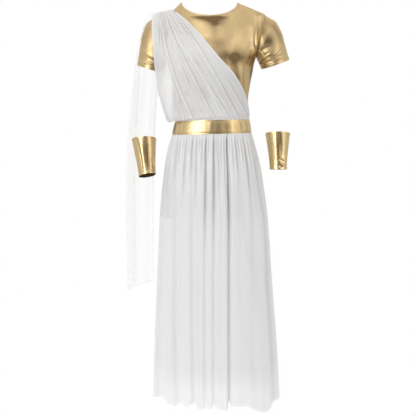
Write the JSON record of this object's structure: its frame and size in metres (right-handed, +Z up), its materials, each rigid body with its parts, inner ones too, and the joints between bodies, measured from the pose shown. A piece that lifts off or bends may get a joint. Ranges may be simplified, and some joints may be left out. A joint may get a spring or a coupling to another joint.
{
  "type": "roman toga costume",
  "caption": "Floor-length costume with a gold foil short-sleeved top, white one-shoulder drape, sheer cape, gold waistband, gathered chiffon skirt and gold cuffs, filled out as worn.",
  "frame": {"origin": "between the two shoulders at the height of the neck points, where the wearer's shoulders hold the costume", "axes": "+Z up, -Y out of the front, +X towards the wearer's left"},
  "size_m": [0.6001, 0.3592, 1.4667],
  "materials": {
    "gold_jersey": "metallic foil",
    "gold_band": "metallic foil",
    "white_chiffon": "matt, slightly sheer",
    "white_lining": "matt",
    "sheer_chiffon": "sheer"
  },
  "bodies": {
    "root": {"top_front": "gold_jersey", "top_back": "gold_jersey", "sleeve_left": "gold_jersey", "sleeve_right": "gold_jersey", "waistband_front": "gold_band", "waistband_back": "gold_band", "cuff_right": "gold_band", "cuff_left": "gold_band", "drape_front": "white_chiffon", "skirt_front": "white_chiffon", "skirt_back": "white_chiffon", "slip": "white_lining", "cape": "sheer_chiffon"}
  },
  "joints": []
}
